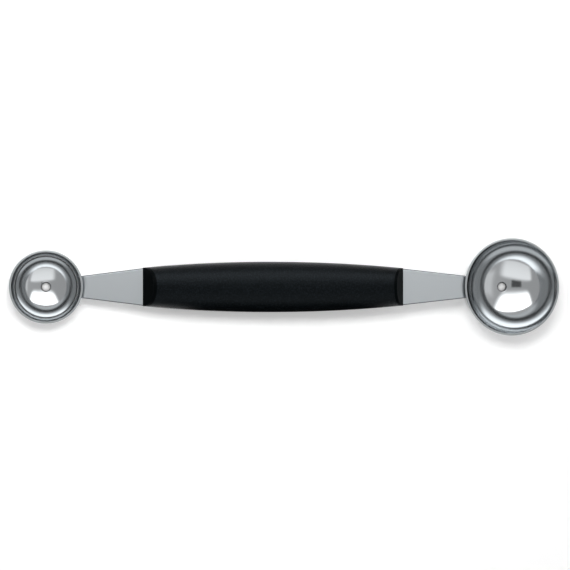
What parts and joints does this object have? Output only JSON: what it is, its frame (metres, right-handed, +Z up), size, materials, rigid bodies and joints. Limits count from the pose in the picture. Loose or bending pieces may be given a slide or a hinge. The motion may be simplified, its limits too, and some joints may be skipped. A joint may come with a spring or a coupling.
{
  "type": "melon baller",
  "caption": "Double-ended melon baller: polished steel bowls on flat tapered necks at both ends of an oval black soft-grip handle with slanted ends.",
  "frame": {"origin": "middle of the object's outline, on the surface that it lies on", "axes": "+X along the tool from the small bowl to the large bowl, +Y across it, +Z up out of the bowls' mouths"},
  "size_m": [0.1878, 0.0336, 0.0178],
  "materials": {
    "bowl_steel": "mirror polished stainless steel",
    "neck_steel": "satin finished stainless steel",
    "weld_steel": "blended stainless weld",
    "core_plastic": "moulded hard black plastic",
    "grip_rubber": "moulded soft-touch elastomer, matte black"
  },
  "bodies": {
    "root": {"small_bowl": "bowl_steel", "large_bowl": "bowl_steel", "small_neck": "neck_steel", "large_neck": "neck_steel", "small_bowl_weld": "weld_steel", "large_bowl_weld": "weld_steel", "core_upper_half": "core_plastic", "core_lower_half": "core_plastic", "soft_grip": "grip_rubber"}
  },
  "joints": []
}
